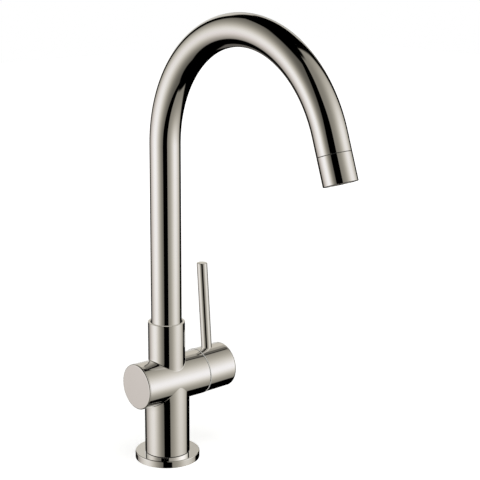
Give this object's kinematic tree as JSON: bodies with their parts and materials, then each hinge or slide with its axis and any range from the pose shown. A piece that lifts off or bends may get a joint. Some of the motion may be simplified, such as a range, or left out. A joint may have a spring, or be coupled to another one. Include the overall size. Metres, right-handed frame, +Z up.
{
  "type": "kitchen mixer tap",
  "caption": "Single-lever kitchen mixer tap: round deck flange, upright stem with a cross barrel, swivelling gooseneck spout with aerator, and a side handle with a slim upright lever.",
  "frame": {"origin": "centre of the deck face, on the axis of the column", "axes": "+Z up along the column, spout towards -Y (the user's side), handle on the +X end of the barrel"},
  "size_m": [0.1027, 0.266, 0.4179],
  "materials": {
    "polished_nickel": "polished warm nickel plate on brass",
    "bare_brass": "turned",
    "stainless_steel": "bright",
    "black_rubber": "matt",
    "black_acetal": "smooth matt",
    "white_acetal": "moulded",
    "grey_plastic": "moulded",
    "white_ceramic": "lapped"
  },
  "bodies": {
    "body": {"base_flange": "polished_nickel", "deck_gasket": "black_rubber", "mixer_body": "polished_nickel", "barrel_end_cap": "polished_nickel", "end_cap_o_ring": "black_rubber", "spout_bush": "black_acetal", "spout_thrust_washer": "black_acetal", "spout_grub_screw": "stainless_steel", "bonnet": "polished_nickel", "cartridge_clamp_nut": "bare_brass", "cartridge_housing": "white_acetal", "cartridge_base": "white_acetal", "cartridge_base_seals": "black_rubber", "fixed_disc": "white_ceramic"},
    "spout": {"spout_tube": "polished_nickel", "spout_nipple": "bare_brass", "spout_o_rings": "black_rubber", "outlet_ferrule": "bare_brass", "aerator_gasket": "black_rubber", "aerator_insert": "grey_plastic", "aerator_housing": "polished_nickel"},
    "carrier": {"cartridge_carrier": "white_acetal", "stem_pivot_pin": "stainless_steel"},
    "handle": {"handle_body": "polished_nickel", "lever_rod": "polished_nickel", "handle_grub_screw": "stainless_steel", "cartridge_stem": "bare_brass"},
    "disc": {"moving_disc": "white_ceramic", "disc_driver": "white_acetal"}
  },
  "joints": [
    {"name": "spout_swivel", "type": "hinge", "parent": "body", "child": "spout", "pos_m": [0, 0, 0.1], "axis": [0, 0, 1], "continuous": true},
    {"name": "handle_turn", "type": "hinge", "parent": "body", "child": "carrier", "pos_m": [0, 0, 0.076], "axis": [1, 0, 0], "range_deg": [-45, 45]},
    {"name": "handle_lift", "type": "hinge", "parent": "carrier", "child": "handle", "pos_m": [0.02, 0, 0.076], "axis": [0, 1, 0], "range_deg": [0, 22]},
    {"name": "disc_slide", "type": "slide", "parent": "carrier", "child": "disc", "axis": [0, 0, 1], "range_m": [0, 0.0028]}
  ],
  "couplings": [
    {"joint": "disc_slide", "follows": "handle_lift", "m_per_rad": 0.0070244}
  ]
}
